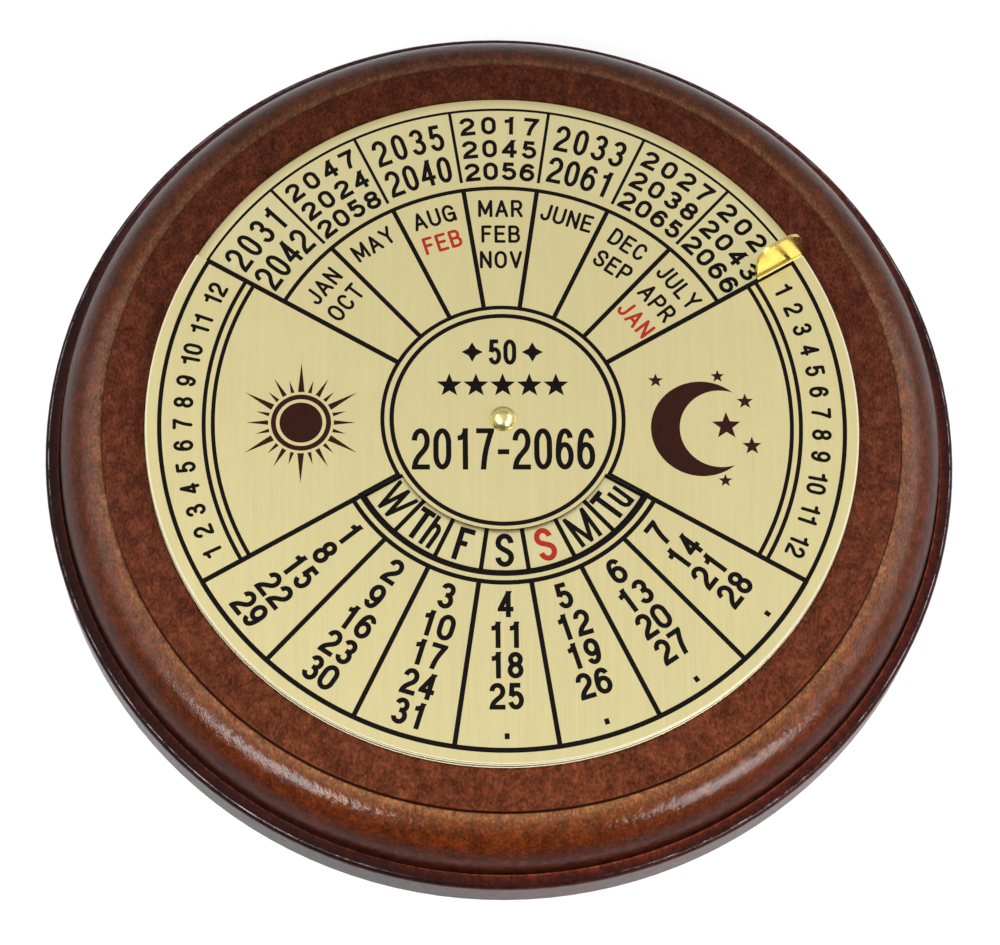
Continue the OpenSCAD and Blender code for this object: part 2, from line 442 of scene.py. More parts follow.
WEEKDAYS = ("W", "Th", "F", "S", "S", "m", "Tu")
RED_WEEKDAY = 4
WEEKDAY_RADIUS = 0.3842
WEEKDAY = Lettering(
    0.098, 0.048, 0.0152, 0.003,
    widths={"W": 0.083, "T": 0.044, "h": 0.036, "F": 0.044, "S": 0.052, "m": 0.07, "u": 0.037},
    weights={"W": 0.0122, "h": 0.0128, "m": 0.0127, "u": 0.0122})
WEEKDAY_RING = (0.4425, 0.452)
WEEKDAY_LINE = 0.0125
WEEKDAY_LINE_START = 0.318

# Lines end this far inside the ring that they meet.
LINE_OVERLAP = 0.004

MONTHS = ("JAN OCT", "MAY", "AUG FEB", "MAR FEB NOV", "JUNE", "DEC SEP", "JULY APR JAN")
# The sector and the row of those printed in red, for leap years
RED_MONTHS = ((2, 1), (6, 2))
MONTH_ROWS = (0.646, 0.566, 0.486)
MONTH = Lettering(0.0545, 0.034, 0.0087, 0.0075, rounded=True, widths={
    "J": 0.0285, "A": 0.038, "O": 0.036, "G": 0.037, "U": 0.035, "M": 0.041, "Y": 0.036,
    "E": 0.032, "F": 0.03, "B": 0.034, "L": 0.029, "V": 0.036})

DATE_COLUMNS = 7
LAST_DATE = 31
DATE_ROWS = (0.5455, 0.6335, 0.720, 0.808, 0.895)
DATE_PITCH = 0.0503
DATES = Lettering(0.0755, 0.0435, 0.0137, 0, widths={"0": 0.0465, "6": 0.0455})
DATE_DOT = (0.0135, 0.0165)
DATE_DOT_RADIUS = 0.9205

EDGE_LINE = 0.0142
MONTH_LINE = 0.013
DATE_LINE = 0.0136
OUTER_RING = (0.9537, 0.966)
DATE_OUTER_RING = (0.9527, 0.9668)
MONTH_ARC = (0.7047, 0.7165)
INNER_RING = (0.3057, 0.3181)
MEDALLION_RING = (0.3321, 0.3436)
WINDOW_RING = (0.4495, 0.4641)
WINDOW_LINE = 0.009
DATE_RING = (0.4765, 0.4895)
SIDE_RINGS = ((0.805, 0.8165), (0.8305, 0.842))

BAND_NUMBERS = "1 2 3 4 5 6 7 8 9 10 11 12"
BAND = Lettering(0.056, 0.032, 0.0098, 0, rounded=True)
BAND_RADIUS = 0.895
BAND_PITCH = 0.0325


def year_print():
    """The year disc's print: years round the rim, weekdays round the middle."""
    black = []
    red = []
    lines = ring_polygons(*YEAR_RING) + ring_polygons(*WEEKDAY_RING)
    year_end = YEAR_RING[1] - LINE_OVERLAP
    weekday_end = WEEKDAY_RING[1] - LINE_OVERLAP
    for i, sector in enumerate(YEARS):
        years = sector.split()
        clock = i * SECTOR
        lines.append(radial_polygon(clock + SECTOR / 2, YEAR_LINE_START, year_end, YEAR_LINE))
        lines.append(radial_polygon(clock, WEEKDAY_LINE_START, weekday_end, WEEKDAY_LINE))
        style, rows = YEAR_STYLES[len(years)]
        for year, (radius, pitch) in zip(years, rows):
            black.extend(style.curved(year, clock, radius, pitch))
    for i in range(SECTORS):
        day = i % len(WEEKDAYS)
        clock = FIRST_COLUMN - i * SECTOR
        ink = red if day == RED_WEEKDAY else black
        ink.extend(WEEKDAY.straight(WEEKDAYS[day], clock, WEEKDAY_RADIUS, inward=True))
    black.append(union(lines))
    return black, red


def dial_lines():
    """Rings, arcs and sector lines of the month dial."""
    right, left = SIDE_BANDS
    arcs = [(OUTER_RING, right), (DATE_OUTER_RING, WINDOW_ENDS), (OUTER_RING, left),
            (MONTH_ARC, (-NOTCH_EDGE, NOTCH_EDGE)), (INNER_RING, ()),
            (MEDALLION_RING, (-WINDOW_ENDS[0], WINDOW_ENDS[0])),
            (WINDOW_RING, WINDOW_ENDS), (DATE_RING, WINDOW_ENDS)]
    arcs += [(ring, band) for band in SIDE_BANDS for ring in SIDE_RINGS]
    lines = []
    for ring, ends in arcs:
        lines += ring_polygons(*ring, *ends)
    start = MEDALLION_RING[0] + LINE_OVERLAP
    month_end = MONTH_ARC[1] - LINE_OVERLAP
    date_start = DATE_RING[0] + LINE_OVERLAP
    rim_end = OUTER_RING[1] - LINE_OVERLAP
    for i in range(1, DATE_COLUMNS):
        turn = i * SECTOR
        lines.append(radial_polygon(-NOTCH_EDGE + turn, start, month_end, MONTH_LINE))
        lines.append(radial_polygon(WINDOW_ENDS[0] + turn, date_start, rim_end, DATE_LINE))
    for clock in (-NOTCH_EDGE, NOTCH_EDGE):
        lines.append(radial_polygon(clock, start, OUTER_RING[1], EDGE_LINE))
    # Beside the window's ends the line keeps to the dial's side of the opening.
    for clock, side in zip(WINDOW_ENDS, (-1, 1)):
        shift = side * WINDOW_LINE / 2
        lines.append(radial_polygon(clock, start, WINDOW_RING[1], WINDOW_LINE, shift))
        lines.append(radial_polygon(clock, WINDOW_RING[1] - LINE_OVERLAP, rim_end, EDGE_LINE))
    return union(lines)


def date_dot(clock):
    x, y = DATE_DOT[0] / 2, DATE_DOT[1] / 2
    corners = ((-x, -y), (x, -y), (x, y), (-x, y))
    return union([scaled([on_disc(clock, DATE_DOT_RADIUS, *corner) for corner in corners])])


def dial_dates():
    """Columns of dates, each a week apart down its column; a dot stands where no date is left."""
    regions = []
    for column in range(DATE_COLUMNS):
        clock = FIRST_COLUMN - column * SECTOR
        for row, radius in enumerate(DATE_ROWS):
            date = 1 + column + row * DATE_COLUMNS
            if date > LAST_DATE:
                regions.append(date_dot(clock))
                continue
            regions += DATES.straight(str(date), clock, radius, inward=True, pitch=DATE_PITCH)
    return regions


def star(x, y, size, points=5, waist=0.42):
    """A star's region, as a kite for each point."""
    half = math.pi / points
    kites = []
    for i in range(points):
        angle = math.pi / 2 + 2 * half * i
        corners = ((0, angle), (waist * size, angle - half),
                   (size, angle), (waist * size, angle + half))
        kites.append(scaled([polar(x, y, *corner) for corner in corners]))
    return union(kites)


# The medallion: a number between two four-pointed stars, a row of five-pointed ones and a span
# of years
SPAN_TEXT = "2017-2066"
SPAN = Lettering(0.123, 0.0505, 0.015, 0.0095, widths={"-": 0.032})
SPAN_Y = -0.0905
FIFTY = Lettering(0.077, 0.0365, 0.0122, 0.006)
FIFTY_Y = 0.2015
FIFTY_STAR_X = 0.085
FIFTY_STAR_SIZE = 0.03
STARS_Y = 0.1
STAR_SIZE = 0.037
STAR_PITCH = 0.075


def medallion():
    regions = SPAN.straight(SPAN_TEXT, 0, SPAN_Y)
    regions += FIFTY.straight("50", 0, FIFTY_Y)
    for i in range(-2, 3):
        regions.append(star(i * STAR_PITCH, STARS_Y, STAR_SIZE))
    for x in (-FIFTY_STAR_X, FIFTY_STAR_X):
        regions.append(star(x, FIFTY_Y, FIFTY_STAR_SIZE, points=4, waist=0.5))
    return regions


SUN_PLACE = (-0.565, -0.012)
SUN_CORE = 0.06
SUN_RING = (0.07, 0.084)
# The disc's and the ring's sides are this many degrees long.
SUN_STEP = 6
SUN_RAYS = 24
SUN_RAY_ROOT = 0.092
# How far the rays reach and half their angle at the root, in radians, over and over
SUN_RAY_KINDS = ((0.18, 0.1), (0.13, 0.06), (0.152, 0.075), (0.13, 0.06))


def sun(x, y):
    """A sun: a disc, a ring and rays of three kinds."""
    turns = range(0, 360, SUN_STEP)
    regions = [union([scaled([polar(x, y, SUN_CORE, math.radians(a)) for a in turns])])]
    inner, outer = SUN_RING
    band = []
    for a in turns:
        b = a + SUN_STEP
        corners = ((inner, a), (outer, a), (outer, b), (inner, b))
        band.append(scaled([polar(x, y, r, math.radians(t)) for r, t in corners]))
    regions.append(union(band))
    for i in range(SUN_RAYS):
        tip, half = SUN_RAY_KINDS[i % len(SUN_RAY_KINDS)]
        angle = math.pi / 2 + 2 * math.pi * i / SUN_RAYS
        corners = ((SUN_RAY_ROOT, angle - half), (tip, angle), (SUN_RAY_ROOT, angle + half))
        regions.append(union([scaled([polar(x, y, *corner) for corner in corners])]))
    return regions


MOON_PLACE = (0.556, -0.03)
# The radii of the crescent's circle and of the one that hollows it, and how far right that lies
MOON_CIRCLES = (0.142, 0.115, 0.054)
MOON_STEPS = 40
# Stars about the moon: their places from its middle, and their sizes
MOON_STARS = ((0.07, 0.008, 0.042), (0.125, 0.082, 0.024), (0.14, -0.052, 0.028),
              (0.05, 0.158, 0.02), (-0.125, 0.145, 0.022), (0.062, -0.155, 0.02))


def moon(x, y):
    """A crescent moon with stars about it."""
    outer, inner, shift = MOON_CIRCLES
    tip = math.acos((outer ** 2 + shift ** 2 - inner ** 2) / (2 * outer * shift))
    inner_tip = math.pi - math.acos((inner ** 2 + shift ** 2 - outer ** 2) / (2 * inner * shift))
    full = 2 * math.pi
    rim = [tip + (full - 2 * tip) * i / MOON_STEPS for i in range(MOON_STEPS + 1)]
    hollow = [full - inner_tip - (full - 2 * inner_tip) * i / MOON_STEPS
              for i in range(1, MOON_STEPS)]
    crescent = [polar(x, y, outer, a) for a in rim]
    crescent += [polar(x + shift, y, inner, a) for a in hollow]
    regions = [union([scaled(crescent)])]
    for dx, dy, size in MOON_STARS:
        regions.append(star(x + dx, y + dy, size))
    return regions


def dial_print():
    """The month dial's print: black, red and maroon."""
    black = [dial_lines()] + dial_dates() + medallion()
    red = []
    for i, months in enumerate(MONTHS):
        clock = (i - len(MONTHS) // 2) * SECTOR
        for row, month in enumerate(months.split()):
            ink = red if (i, row) in RED_MONTHS else black
            ink.extend(MONTH.straight(month, clock, MONTH_ROWS[row]))
    for start, end in SIDE_BANDS:
        black.extend(BAND.curved(BAND_NUMBERS, (start + end) / 2, BAND_RADIUS, BAND_PITCH))
    maroon = sun(*SUN_PLACE) + moon(*MOON_PLACE)
    return black, red, maroon


# ---------------------------------------------------------------- materials

class Nodes:
    """A node tree, with short ways of adding to it."""

    def __init__(self, tree):
        self.tree = tree

    def add(self, kind, inputs=None, **settings):
        node = self.tree.nodes.new("ShaderNode" + kind)
        for key, value in settings.items():
            setattr(node, key, value)
        for key, value in (inputs or {}).items():
            self.feed(node.inputs[key], value)
        return node

    def feed(self, socket, value):
        """Links another socket to this one, or sets a constant on it. Colours have three parts."""
        if isinstance(value, bpy.types.NodeSocket):
            self.tree.links.new(value, socket)
        elif socket.type == "RGBA":
            socket.default_value = (*value, 1)
        else:
            socket.default_value = value

    def math(self, operation, a, b=0.0, c=0.0):
        return self.add("Math", operation=operation, inputs={0: a, 1: b, 2: c}).outputs[0]

    def times(self, a, b):
        return self.math("MULTIPLY", a, b)

    def vector(self, operation, a, b=(0, 0, 0)):
        """Vector arithmetic. A length comes out as a number."""
        node = self.add("VectorMath", operation=operation, inputs={0: a, 1: b})
        return node.outputs["Value" if operation == "LENGTH" else "Vector"]

    def split(self, vector):
        """A vector's parts, by the names X, Y and Z."""
        return self.add("SeparateXYZ", {0: vector}).outputs

    def remap(self, value, low, high, to_low=0.0, to_high=1.0):
        """A value's grade from one level to another, held beyond both."""
        return self.add("MapRange", {
            "Value": value, "From Min": low, "From Max": high,
            "To Min": to_low, "To Max": to_high}).outputs["Result"]

    def ramp(self, factor, stops):
        """A colour ramp over stops of (position, colour)."""
        node = self.add("ValToRGB", {"Fac": factor})
        elements = node.color_ramp.elements
        while len(elements) < len(stops):
            elements.new(0.5)
        for element, (position, colour) in zip(elements, stops):
            element.position = position
            element.color = (*colour, 1)
        return node.outputs["Color"]

    def blend(self, factor, first, second):
        """The first shader where the factor is 0, the second where it is 1."""
        return self.add("MixShader", {0: factor, 1: first, 2: second}).outputs[0]


class Shader(Nodes):
    """A material's nodes, with its principled shader and places in millimetres."""

    def __init__(self, name):
        self.material = bpy.data.materials.new(name)
        self.material.use_nodes = True
        super().__init__(self.material.node_tree)
        self.principled = self.tree.nodes["Principled BSDF"]
        texture = self.add("TexCoord")
        self.place = self.add("VectorMath", operation="SCALE",
                              inputs={0: texture.outputs["Object"], "Scale": 1 / MM}).outputs[0]

    def set(self, **values):
        """Feeds the principled shader's sockets: names have _ for a space."""
        for name, value in values.items():
            self.feed(self.principled.inputs[name.replace("_", " ")], value)

    def noise(self, size, detail=3.0, rough=0.55, stretch=(1, 1, 1), distort=0.0, place=None):
        """Noise whose blots are about size millimetres across, longer along stretched axes."""
        place = self.vector("DIVIDE", place or self.place, tuple(size * s for s in stretch))
        return self.add("TexNoise", {
            "Vector": place, "Scale": 1.0, "Detail": detail, "Roughness": rough,
            "Distortion": distort}).outputs["Fac"]

    def mix(self, factor, a, b, blend="MIX"):
        # For colours a mix node takes its factor, A and B at sockets 0, 6 and 7.
        return self.add("Mix", data_type="RGBA", blend_type=blend,
                        inputs={0: factor, 6: a, 7: b}).outputs[2]

    def toned(self, colour, tone):
        """A colour multiplied by a tone."""
        return self.mix(1.0, colour, tone, "MULTIPLY")

    def bump(self, height, distance, strength=1.0, before=None):
        """Bump of so many millimetres for a full step of height, added to an earlier one."""
        inputs = {"Height": height, "Distance": distance * MM, "Strength": strength}
        if before is not None:
            inputs["Normal"] = before
        return self.add("Bump", inputs=inputs).outputs["Normal"]

    def wall(self, height, below, inner, outer):
        """One on the upright walls that lie below a height and between two radii."""
        normal = self.add("NewGeometry").outputs["True Normal"]
        upright = self.math("LESS_THAN", self.math("ABSOLUTE", self.split(normal)["Z"]), 0.5)
        low = self.math("LESS_THAN", height, below)
        radius = self.radius()
        between = self.times(self.math("GREATER_THAN", radius, inner),
                             self.math("LESS_THAN", radius, outer))
        return self.times(upright, self.times(low, between))

    def eased(self, normal, mask):
        """The normal, tipped upwards where the mask is one, as over an eased edge."""
        tipped = self.vector("NORMALIZE", self.vector("ADD", normal, (0, 0, 1)))
        # For vectors a mix node takes A and B at sockets 4 and 5.
        return self.add("Mix", data_type="VECTOR",
                        inputs={0: mask, 4: normal, 5: tipped}).outputs[1]

    def radius(self):
        """Distance from the dial's axis."""
        return self.vector("LENGTH", self.vector("MULTIPLY", self.place, (1, 1, 0)))


def srgb(red, green, blue):
    """A colour as read from a picture, 0 to 255, in the linear values that shaders take."""
    def linear(value):
        value /= 255
        return value / 12.92 if value <= 0.04045 else ((value + 0.055) / 1.055) ** 2.4
    return tuple(map(linear, (red, green, blue)))


# Walls nearer the axis than this are those of the punched openings, painted nearly black: partly
# the sheared edge's own dark, partly painted shade. The rims' walls beyond are painted bright as a
# highlight.
CUT_RADIUS = 48
# How metallic the rims' walls stay under their painted highlight
RIM_HIGHLIGHT_METAL = 0.2
# The dial's flat part lies below this height, and its tab goes on above it.
FLAT_END = DIAL_TOP + 0.01
# The year disc's outer band, which grows darker towards its edge
DARKER_EDGE_BAND = 1.1


def brushed_brass(name, colour, polished_above=None):
    """Satin brass, brushed along the discs' Y, with a painted highlight on the rims' walls and
    painted shade on the openings' walls. The dial's bent-up tab is polished above a height, with
    painted shade in its crease, and the flat's outer edge gets a painted highlight; the disc that
    has no tab grows darker towards its edge."""
    s = Shader(name)
    streaks = s.noise(0.09, detail=4, rough=0.6, stretch=(1, 110, 1))
    wide_streaks = s.noise(0.7, detail=2, stretch=(1, 60, 1))
    cloud = s.noise(9, detail=2)
    light = tuple(c * 1.05 for c in colour)
    dark = tuple(c * 0.93 for c in colour)
    base = s.ramp(s.math("MULTIPLY_ADD", streaks, 0.6, 0.2), [(0.3, dark), (0.7, light)])
    base = s.mix(s.remap(wide_streaks, 0.35, 0.65, 0.0, 0.35), base, dark)
    base = s.mix(s.remap(cloud, 0.35, 0.7, 0.0, 0.25), base, light)
    rough = s.remap(streaks, 0.3, 0.7, 0.34, 0.44)
    height = s.split(s.place)["Z"]
    # Painted shade: the openings' walls are painted nearly black, on top of the sheared edge's own
    # dark.
    cut = s.wall(height, FLAT_END, 0, CUT_RADIUS)
    # Painted highlight: the rims' outer walls are painted cream and made less metallic.
    rim = s.wall(height, FLAT_END, CUT_RADIUS, BASE_RADIUS)
    if polished_above is None:
        # Darker towards the year disc's edge
        darker_edge = s.remap(s.radius(), DIAL_RADIUS - DARKER_EDGE_BAND, DIAL_RADIUS)
        base = s.mix(s.times(darker_edge, 0.45), base, srgb(150, 138, 80))
    # The openings' walls get their painted shade, the rims' walls their painted highlight.
    base = s.mix(cut, base, srgb(22, 18, 12))
    base = s.mix(rim, base, srgb(255, 246, 208))
    if polished_above is not None:
        # Painted highlight: the outermost of the flat is painted bright, as a lit edge.
        edge_highlight = s.remap(s.radius(), DIAL_RADIUS - 0.3, DIAL_RADIUS - 0.16)
        edge_highlight = s.times(edge_highlight, s.math("LESS_THAN", height, FLAT_END))
        base = s.mix(s.times(edge_highlight, 0.8), base, srgb(255, 248, 218))
        # Painted shade: the tab's crease is painted darker and made rougher.
        crease_shade = s.remap(height, DIAL_TOP + 0.004, DIAL_TOP + 0.05)
        base = s.mix(crease_shade, base, srgb(196, 176, 92))
        polish = s.remap(height, polished_above, polished_above + 0.2)
        base = s.mix(polish, base, srgb(221, 197, 122))
        rough = s.math("ADD", rough, s.times(crease_shade, 0.2))
        rough = s.math("SUBTRACT", rough, s.times(polish, 0.34))
    metal = s.math("SUBTRACT", 1.0, s.math("MAXIMUM", cut, s.times(rim, 1 - RIM_HIGHLIGHT_METAL)))
    s.set(Base_Color=base, Metallic=metal, Roughness=rough, Specular_IOR_Level=0.1,
          Normal=s.eased(s.bump(streaks, 0.006, 0.5), rim))
    return s.material


def polished_brass():
    s = Shader("polished_brass")
    smear = s.noise(1.2, detail=3)
    scratch = s.noise(0.05, detail=2, stretch=(1, 30, 1))
    base = s.ramp(smear, [(0.3, srgb(210, 196, 128)), (0.7, srgb(226, 214, 154))])
    rough = s.remap(smear, 0.3, 0.7, 0.24, 0.32)
    s.set(Base_Color=base, Metallic=1.0, Roughness=rough, Normal=s.bump(scratch, 0.002, 0.3))
    return s.material


def enamel(name, colour, tint):
    """Screen-printed ink: a dense colour with a faint mottle and a soft gloss."""
    s = Shader(name)
    mottle = s.noise(0.25, detail=3)
    s.set(Base_Color=s.ramp(mottle, [(0.35, colour), (0.7, tint)]), Metallic=0.0,
          Roughness=s.remap(mottle, 0.3, 0.7, 0.38, 0.55), Specular_IOR_Level=0.05,
          Normal=s.bump(mottle, 0.004, 0.4))
    return s.material


# Places on the plaque's profile, as distances from the axis
FIELD_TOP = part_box("wood_base")[1].z / MM
FIELD_RADIUS = 56.15
GROOVE_END = 56.35
LIP_RADIUS = 62.45
BEAD_RADIUS = 62.75
# The bead's outer edge, where a broken painted glint runs
GLINT_RADIUS = 64.3
PROFILE = (FIELD_RADIUS - 1, BASE_RADIUS + 1)
# Height of the tree's heart above the desk: the growth rings run round it, along Y.
HEART_HEIGHT = 72

# Painted light and shade from the front of the plaque to its back: lighter in front, darker behind,
# as the lamps' light falls off
FRONT_TO_BACK_LIGHT_AND_SHADE = ((0.0, (0.93, 0.92, 0.78)), (0.4, (0.84, 0.86, 0.93)), (1.0, (0.45, 0.42, 0.4)))
# The stain across the moulding: rubbed light at its inner edge, heavy at its foot
MOULDING_STAIN = (
    (GROOVE_END - 0.1, (0.88, 0.88, 0.95)), (GROOVE_END + 0.2, (1.9, 2.9, 3.0)),
    (GROOVE_END + 0.7, (1.6, 2.2, 2.0)), (GROOVE_END + 1.4, (1.12, 1.15, 0.7)),
    (GROOVE_END + 2.8, (0.82, 0.66, 0.3)), (LIP_RADIUS - 1.6, (0.66, 0.43, 0.18)),
    (LIP_RADIUS - 0.7, (0.42, 0.27, 0.18)), (LIP_RADIUS, (0.5, 0.4, 0.55)),
)
# What the edges add to it, painted light and shade: painted highlights on the groove's outer wall
# and on the bead's arrises, painted shade in the quirk and down the bead's outer side
EDGE_HIGHLIGHTS_AND_SHADE = (
    (FIELD_RADIUS, (1, 1, 1)), (FIELD_RADIUS + 0.03, (1.8, 2.3, 2.1)),
    (GROOVE_END, (1.8, 2.2, 2.0)), (GROOVE_END + 0.15, (1, 1, 1)),
    (LIP_RADIUS - 0.03, (1, 1, 1)), (LIP_RADIUS + 0.02, (0.4, 0.35, 0.35)),
    (BEAD_RADIUS, (0.5, 0.45, 0.35)), (BEAD_RADIUS + 0.12, (3.6, 4.2, 3.4)),
    (BEAD_RADIUS + 0.35, (1.4, 0.9, 0.66)), (BEAD_RADIUS + 1.1, (0.7, 0.5, 0.48)),
    (BASE_RADIUS - 0.4, (0.4, 0.3, 0.35)), (BASE_RADIUS, (0.8, 0.75, 0.85)),
)
# Painted shadow on the wood beside the dial's edge
DISC_SHADOW = ((0.0, (0.55, 0.52, 0.52)), (1.0, (1, 1, 1)))
# Painted reflection: the bead's top towards the back is lightened to a pale grey
BACK_REFLECTION_TONE = (4.5, 6.5, 8.0)


def growth_rings(s):
    """Places in the wood as its growth has them: out from the heart, along it, and across."""
    from_heart = s.vector("SUBTRACT", s.place, (0, 0, HEART_HEIGHT))
    out = s.vector("LENGTH", s.vector("MULTIPLY", from_heart, (1, 0, 1)))
    place = s.split(s.place)
    return s.add("CombineXYZ",
                 {"X": out, "Y": place["Y"], "Z": place["X"]}).outputs[0]


def along_profile(s, distance, stops):
    """Colours at distances from the axis."""
    inner, outer = PROFILE
    shares = [((stop - inner) / (outer - inner), colour) for stop, colour in stops]
    return s.ramp(s.remap(distance, inner, outer), shares)


def profile_mask(s, radius, stops):
    """Levels at distances from the axis."""
    return along_profile(s, radius, [(stop, (level,) * 3) for stop, level in stops])


def wood_grain(s, rings, mottle):
    """The wood's own colour: flecks along the growth rings, specks, blotches and warmer spots."""
    fleck = s.noise(0.26, detail=3, rough=0.65, stretch=(1, 2.2, 1.6), place=rings)
    speck = s.noise(0.27, detail=2, rough=0.5, stretch=(1, 1.5, 1))
    blotch = s.noise(3.2, detail=3, rough=0.6, stretch=(1, 1.5, 1))
    warmth = s.noise(0.9, detail=3, rough=0.6, stretch=(1, 1.3, 1))
    grain = s.math("ADD", s.times(fleck, 0.55), s.times(mottle, 0.45))
    base = s.ramp(grain, [(0.36, srgb(60, 28, 17)), (0.5, srgb(90, 45, 28)),
                          (0.64, srgb(121, 65, 41))])
    base = s.mix(s.remap(speck, 0.6, 0.7, 0.0, 0.35), base, srgb(140, 80, 48))
    base = s.toned(base, s.ramp(blotch, [(0.35, (0.83, 0.81, 0.81)), (0.65, (1.13, 1.13, 1.11))]))
    return s.toned(base, s.ramp(warmth, [(0.36, (1.07, 0.89, 0.95)), (0.64, (0.94, 1.09, 1.0))]))


def stained(s, base, radius, place, mottle):
    """The stain across the profile, with painted light and shade: lighter in front and darker
    behind, a painted shadow beside the disc, painted highlights and shade along the edges and in
    the groove.
    """
    # Painted light and shade: lighter in front, darker behind.
    base = s.toned(base, s.ramp(s.remap(place["Y"], -BASE_RADIUS, BASE_RADIUS), FRONT_TO_BACK_LIGHT_AND_SHADE))
    # Past the groove the stain's bounds wander with the mottle.
    past_edge = s.remap(radius, GROOVE_END, GROOVE_END + 0.8)
    wander = s.times(s.times(s.math("SUBTRACT", mottle, 0.5), 1.4), past_edge)
    base = s.toned(base, along_profile(s, s.math("ADD", radius, wander), MOULDING_STAIN))
    # Painted shadow beside the disc's edge
    disc_shadow_band = s.remap(radius, DIAL_RADIUS + 0.1, DIAL_RADIUS + 0.45)
    base = s.toned(base, s.ramp(disc_shadow_band, DISC_SHADOW))
    # Painted highlights and shade along the groove, the quirk and the bead
    base = s.toned(base, along_profile(s, radius, EDGE_HIGHLIGHTS_AND_SHADE))

    # Painted shade: the groove's wall is painted dark, and a painted shadow line runs along the
    # groove towards the front.
    field_wall_shade = s.wall(place["Z"], FIELD_TOP - 0.12, DIAL_RADIUS, GROOVE_END - 0.1)
    base = s.mix(field_wall_shade, base, srgb(30, 9, 6))
    groove_shadow = profile_mask(s, radius, [(FIELD_RADIUS - 0.17, 0), (FIELD_RADIUS - 0.06, 1),
                                         (FIELD_RADIUS + 0.03, 1), (FIELD_RADIUS + 0.12, 0)])
    frontward = s.remap(place["Y"], -22, -40)
    return s.mix(s.times(groove_shadow, frontward), base, srgb(36, 12, 8))


def worn_bead(s, base, radius, place):
    """The bead's painted light and shade: painted shade to the left, a painted reflection on its
    top towards the back, and a broken painted glint along its outer edge at the sides.
    """
    on_bead = s.math("GREATER_THAN", radius, LIP_RADIUS + 0.05)
    # Painted shade: the bead darker towards the left
    left_shade = s.remap(place["X"], 2, -16)
    base = s.mix(s.times(s.times(on_bead, left_shade), 0.6), base, srgb(16, 6, 7))

    # Painted reflection: the bead's top pale towards the back
    bead_top = profile_mask(s, radius, [(BEAD_RADIUS, 0), (BEAD_RADIUS + 0.1, 1),
                                        (BASE_RADIUS - 0.2, 1), (BASE_RADIUS - 0.04, 0)])
    backward = s.remap(place["Y"], 18, 48)
    base = s.mix(s.times(bead_top, backward), base, s.toned(base, BACK_REFLECTION_TONE))

    # Painted glint: a broken light line along the bead's outer edge at the sides
    to_side = s.remap(s.math("ABSOLUTE", place["X"]), 12, 26)
    near_edge = profile_mask(s, radius, [(GLINT_RADIUS - 0.07, 0), (GLINT_RADIUS - 0.02, 1),
                                         (GLINT_RADIUS + 0.02, 1), (GLINT_RADIUS + 0.07, 0)])
    glint_breaks = s.remap(s.noise(3.5, detail=4, rough=0.75), 0.45, 0.6)
    return s.mix(s.times(s.times(glint_breaks, to_side), near_edge), base, srgb(168, 152, 158))


def stained_wood():
    """Mahogany stain under lacquer: close flecked grain, rubbed light along the moulding's inner
    edge, and painted light and shade:
    lighter towards the front, painted highlights on the bead's edges, painted shade in the grooves."""
    s = Shader("stained_wood")
    rings = growth_rings(s)
    mottle = s.noise(1.3, detail=3, rough=0.6, stretch=(1, 1.3, 1), distort=0.4)
    place = s.split(s.place)
    radius = s.radius()
    base = stained(s, wood_grain(s, rings, mottle), radius, place, mottle)
    base = worn_bead(s, base, radius, place)
    # The lacquer lies on the moulding and thins towards its foot.
    lacquer = profile_mask(s, radius, [
        (GROOVE_END, 0), (GROOVE_END + 0.5, 0.9), (GROOVE_END + 0.9, 1),
        (LIP_RADIUS - 1.5, 0.7), (LIP_RADIUS - 0.5, 0.35)])
    pores = s.noise(0.22, detail=3, rough=0.7, stretch=(1, 9, 5), place=rings)
    swell = s.noise(1.1, detail=1, stretch=(1, 1.6, 1))
    normal = s.bump(mottle, 0.05, 0.6)
    ripple = s.bump(pores, 0.045, before=s.bump(swell, 0.08, before=normal))
    s.set(Base_Color=base, Roughness=s.remap(mottle, 0.3, 0.7, 0.34, 0.46),
          Specular_IOR_Level=0.04, Normal=normal,
          Coat_Weight=lacquer, Coat_Roughness=0.1, Coat_IOR=1.3, Coat_Normal=ripple)
    return s.material


def felt():
    s = Shader("felt")
    fibre = s.noise(0.12, detail=5, rough=0.7)
    clump = s.noise(1.5, detail=3)
    base = s.ramp(fibre, [(0.35, srgb(18, 46, 30)), (0.65, srgb(46, 84, 58))])
    base = s.mix(s.remap(clump, 0.4, 0.7, 0.0, 0.4), base, srgb(24, 56, 38))
    s.set(Base_Color=base, Roughness=0.95, Specular_IOR_Level=0.1, Sheen_Weight=0.4,
          Normal=s.bump(fibre, 0.08, 0.8))
    return s.material


def mottled_sheet(name, size, detail, dark, light, rough, strength):
    """A plain sheet with a mottle of so many millimetres, in its colour and its bump."""
    s = Shader(name)
    mottle = s.noise(size, detail=detail)
    base = s.ramp(mottle, [(0.35, dark), (0.65, light)])
    s.set(Base_Color=base, Roughness=rough, Normal=s.bump(mottle, 0.01, strength))
    return s.material


def dress(node, finish):
    for slot in nodes[node].material_slots:
        slot.material = finish


# ---------------------------------------------------------------- studio

FLOOR_SIZE = 4.0
FLOOR_GAP = 0.05
FLOOR_COLOUR = 0.8
FLOOR_GLOW = 0.84
FLOOR_SHADE = 0.2
# Away from the lamps' light the floor's own light makes up for it, between these distances.
FLOOR_UNLIT = (150, 600)
FLOOR_UNLIT_GLOW = 0.98
# In reflections the floor grows dim between these places in front of the object.
FLOOR_FRONT = (-125, -85)
FLOOR_FRONT_GLOW = 0.15


def seen_rays(n):
    """One for the rays that show a background: the camera's, and those of metal and glass."""
    rays = n.add("LightPath").outputs
    seen = rays["Is Camera Ray"]
    for name in ("Is Glossy Ray", "Is Transmission Ray"):
        seen = n.math("MAXIMUM", seen, rays[name])
    return seen


